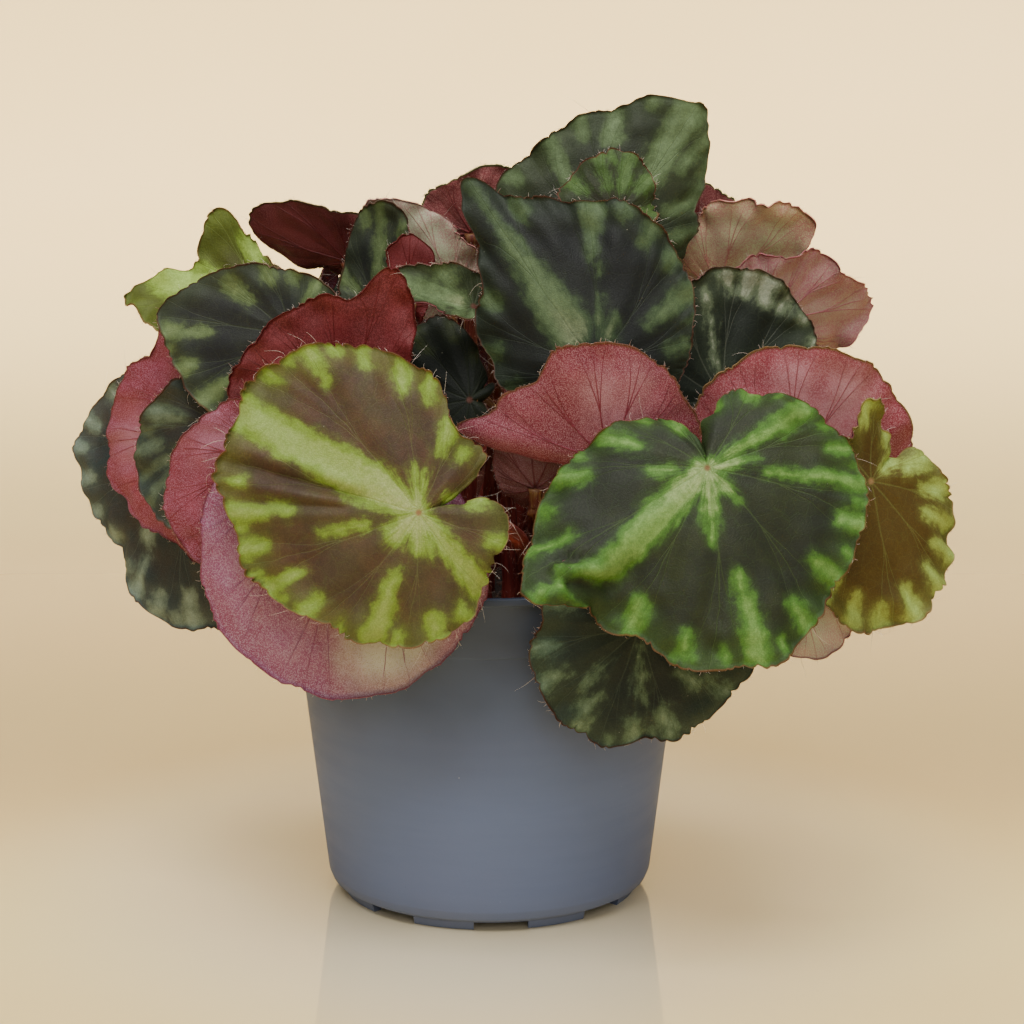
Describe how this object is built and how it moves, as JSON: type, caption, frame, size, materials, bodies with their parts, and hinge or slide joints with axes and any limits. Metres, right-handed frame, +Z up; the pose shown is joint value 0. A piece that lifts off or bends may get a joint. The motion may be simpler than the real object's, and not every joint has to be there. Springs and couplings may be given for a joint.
{
  "type": "potted rex begonia",
  "caption": "Round pot with a stepped collar and notched foot, holding a dome of oblique, heart-shaped begonia leaves on curved stalks",
  "frame": {"origin": "on the table, under the middle of the pot's base", "axes": "+X to the plant's right as seen from its front, +Y to its back, +Z up"},
  "size_m": [0.2474, 0.1954, 0.2266],
  "materials": {
    "pot_plastic": "moulded plastic with a soft satin sheen, blue-grey all through",
    "soil": null,
    "leaf": null,
    "leaf_yellow": null
  },
  "bodies": {
    "root": {"pot": "pot_plastic", "soil": "soil", "leaf_front_left": "leaf", "leaf_front_right": "leaf", "leaf_low_right": "leaf", "leaf_low_left_pink": "leaf", "leaf_right_olive": "leaf", "leaf_pale_right": "leaf", "leaf_centre_pink": "leaf", "leaf_right_pink": "leaf", "leaf_left_outer": "leaf", "leaf_left_pink_outer": "leaf", "leaf_left_mid": "leaf", "leaf_left_mid_pink": "leaf", "leaf_upper_left_dark": "leaf", "leaf_upper_left_pink": "leaf", "leaf_yellow_small": "leaf_yellow", "leaf_red_upper_left": "leaf", "leaf_upright_fold": "leaf", "leaf_pale_pink": "leaf", "leaf_red_back_top": "leaf", "leaf_silver_fold": "leaf", "leaf_red_flap": "leaf", "leaf_gap_pink": "leaf", "leaf_red_right_top": "leaf", "leaf_centre_dark": "leaf", "leaf_top_centre": "leaf", "leaf_top_back": "leaf", "leaf_small_mid": "leaf", "leaf_right_pink_upper": "leaf", "leaf_right_pink_lower": "leaf", "leaf_right_dark_blue": "leaf", "leaf_back_low": "leaf", "leaf_back_low_left": "leaf", "leaf_back_low_right": "leaf", "leaf_back_high": "leaf", "leaf_back_high_left": "leaf", "leaf_back_high_right": "leaf", "leaf_right_side": "leaf", "leaf_left_side": "leaf"}
  },
  "joints": []
}
